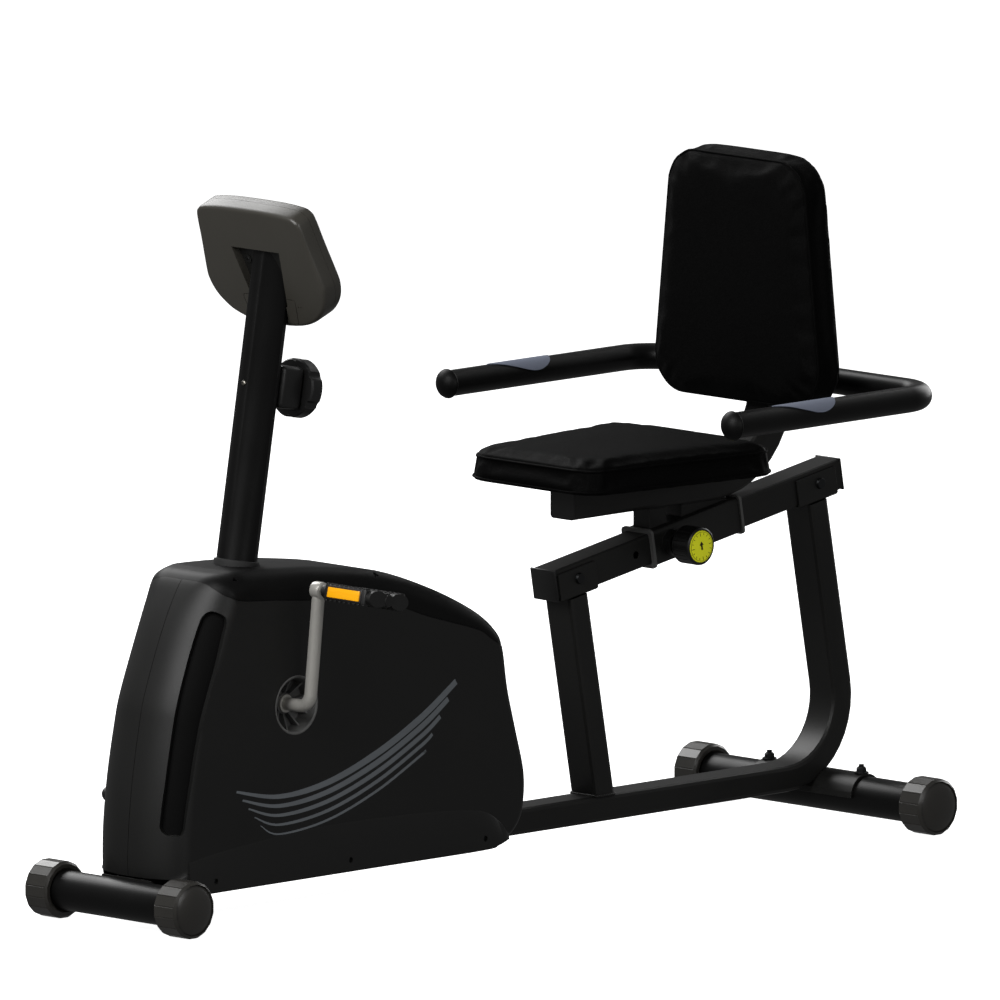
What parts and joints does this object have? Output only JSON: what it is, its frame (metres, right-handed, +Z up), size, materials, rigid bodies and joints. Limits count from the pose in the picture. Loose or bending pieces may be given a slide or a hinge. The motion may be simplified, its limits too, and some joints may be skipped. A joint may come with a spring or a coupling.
{
  "type": "recumbent exercise bike",
  "caption": "Recumbent exercise bike with a step-through steel frame, belt-driven magnetic flywheel in a housing, raked console post and a seat that slides on an inclined rail.",
  "frame": {"origin": "on the floor under the middle of the bike's length and width", "axes": "+X along the bike, towards the backrest; +Y to the rider's right; +Z up"},
  "size_m": [1.4964, 0.619, 1.0141],
  "materials": {
    "black_paint": "satin black powder coat",
    "black_plastic": "satin black moulded plastic",
    "grey_plastic": "satin grey moulded plastic",
    "cap_plastic": "satin warm grey moulded plastic",
    "vinyl": "black upholstery vinyl over foam",
    "plywood": "plain plywood board",
    "steel": "machined, bare",
    "chrome": "polished plate",
    "cast_iron": "turned",
    "rubber": "plain",
    "yellow_plastic": "gloss",
    "orange_reflector": "gloss, prismatic",
    "display": "clear window"
  },
  "bodies": {
    "frame": {"main_beam": "black_paint", "front_upright": "black_paint", "front_rail_bracket": "black_paint", "rear_rail_bracket": "black_paint", "front_rail_bolt": "steel", "rear_rail_bolt": "steel", "seat_rail": "black_paint", "rail_plug_front": "black_plastic", "rail_plug_rear": "black_plastic", "front_stabiliser": "black_paint", "rear_stabiliser": "black_paint", "front_cap_left": "cap_plastic", "front_cap_right": "cap_plastic", "rear_cap_left": "cap_plastic", "rear_cap_right": "cap_plastic", "front_saddle": "black_paint", "rear_saddle": "black_paint", "mast": "black_paint", "crank_shell": "black_paint", "crank_bearing_left": "steel", "crank_bearing_right": "steel", "flywheel_bracket": "black_paint", "drive_belt": "rubber", "housing_left": "black_plastic", "housing_right": "black_plastic", "housing_top_cover": "black_plastic", "console_post": "black_paint", "tension_block": "black_plastic", "console_back": "grey_plastic", "console_front": "grey_plastic", "console_lens": "display"},
    "crank": {"crank": "chrome", "crank_pulley": "black_plastic", "pedal_spindle_left": "steel", "pedal_spindle_right": "steel"},
    "left_pedal": {"pedal_left": "black_plastic", "pedal_reflector_left": "orange_reflector"},
    "right_pedal": {"pedal_right": "black_plastic", "pedal_reflector_right": "orange_reflector"},
    "flywheel": {"flywheel": "cast_iron", "flywheel_shaft": "steel"},
    "magnet_arm": {"magnet_arm": "steel"},
    "tension_knob": {"tension_knob": "black_plastic"},
    "mode_button": {"button_mode": "grey_plastic"},
    "set_button": {"button_set": "grey_plastic"},
    "reset_button": {"button_reset": "grey_plastic"},
    "carriage": {"slider_sleeve": "black_paint", "slider_bush_front": "grey_plastic", "slider_bush_rear": "grey_plastic", "seat_beam": "black_paint", "seat_cushion": "vinyl", "seat_board": "plywood", "backrest_cushion": "vinyl", "backrest_board": "plywood", "handlebar": "black_paint", "handlebar_cap_left": "grey_plastic", "handlebar_cap_right": "grey_plastic", "pulse_plate_left": "chrome", "pulse_plate_right": "chrome"},
    "lock": {"lock_knob": "yellow_plastic"}
  },
  "joints": [
    {"name": "crank_spin", "type": "hinge", "parent": "frame", "child": "crank", "pos_m": [-0.4377, 0, 0.2975], "axis": [0, 1, 0], "continuous": true},
    {"name": "left_pedal_spin", "type": "hinge", "parent": "crank", "child": "left_pedal", "pos_m": [-0.4377, -0.222, 0.4675], "axis": [0, 1, 0], "continuous": true},
    {"name": "right_pedal_spin", "type": "hinge", "parent": "crank", "child": "right_pedal", "pos_m": [-0.4377, 0.222, 0.1275], "axis": [0, 1, 0], "continuous": true},
    {"name": "flywheel_spin", "type": "hinge", "parent": "frame", "child": "flywheel", "pos_m": [-0.1627, 0, 0.235], "axis": [0, 1, 0], "continuous": true},
    {"name": "tension_turn", "type": "hinge", "parent": "frame", "child": "tension_knob", "pos_m": [-0.42974, 0, 0.7481], "axis": [0.9851, 0, -0.1719], "range_deg": [0, 270]},
    {"name": "magnet_swing", "type": "hinge", "parent": "frame", "child": "magnet_arm", "pos_m": [-0.2931, 0, 0.27], "axis": [0, -1, 0], "range_deg": [0, 5]},
    {"name": "mode_press", "type": "slide", "parent": "frame", "child": "mode_button", "axis": [-0.9317, 0, -0.3633], "range_m": [0, 0.0012], "stiffness_N_per_m": 400, "springref_m": -0.001},
    {"name": "set_press", "type": "slide", "parent": "frame", "child": "set_button", "axis": [-0.9317, 0, -0.3633], "range_m": [0, 0.0012], "stiffness_N_per_m": 400, "springref_m": -0.001},
    {"name": "reset_press", "type": "slide", "parent": "frame", "child": "reset_button", "axis": [-0.9317, 0, -0.3633], "range_m": [0, 0.0012], "stiffness_N_per_m": 400, "springref_m": -0.001},
    {"name": "seat_slide", "type": "slide", "parent": "frame", "child": "carriage", "axis": [0.9854, 0, 0.1702], "range_m": [-0.0697, 0.0697]},
    {"name": "lock_pull", "type": "slide", "parent": "carriage", "child": "lock", "axis": [0, 1, 0], "range_m": [0, 0.008]}
  ],
  "couplings": [
    {"joint": "flywheel_spin", "follows": "crank_spin", "ratio": 5.194},
    {"joint": "magnet_swing", "follows": "tension_turn", "ratio": 0.018519}
  ]
}
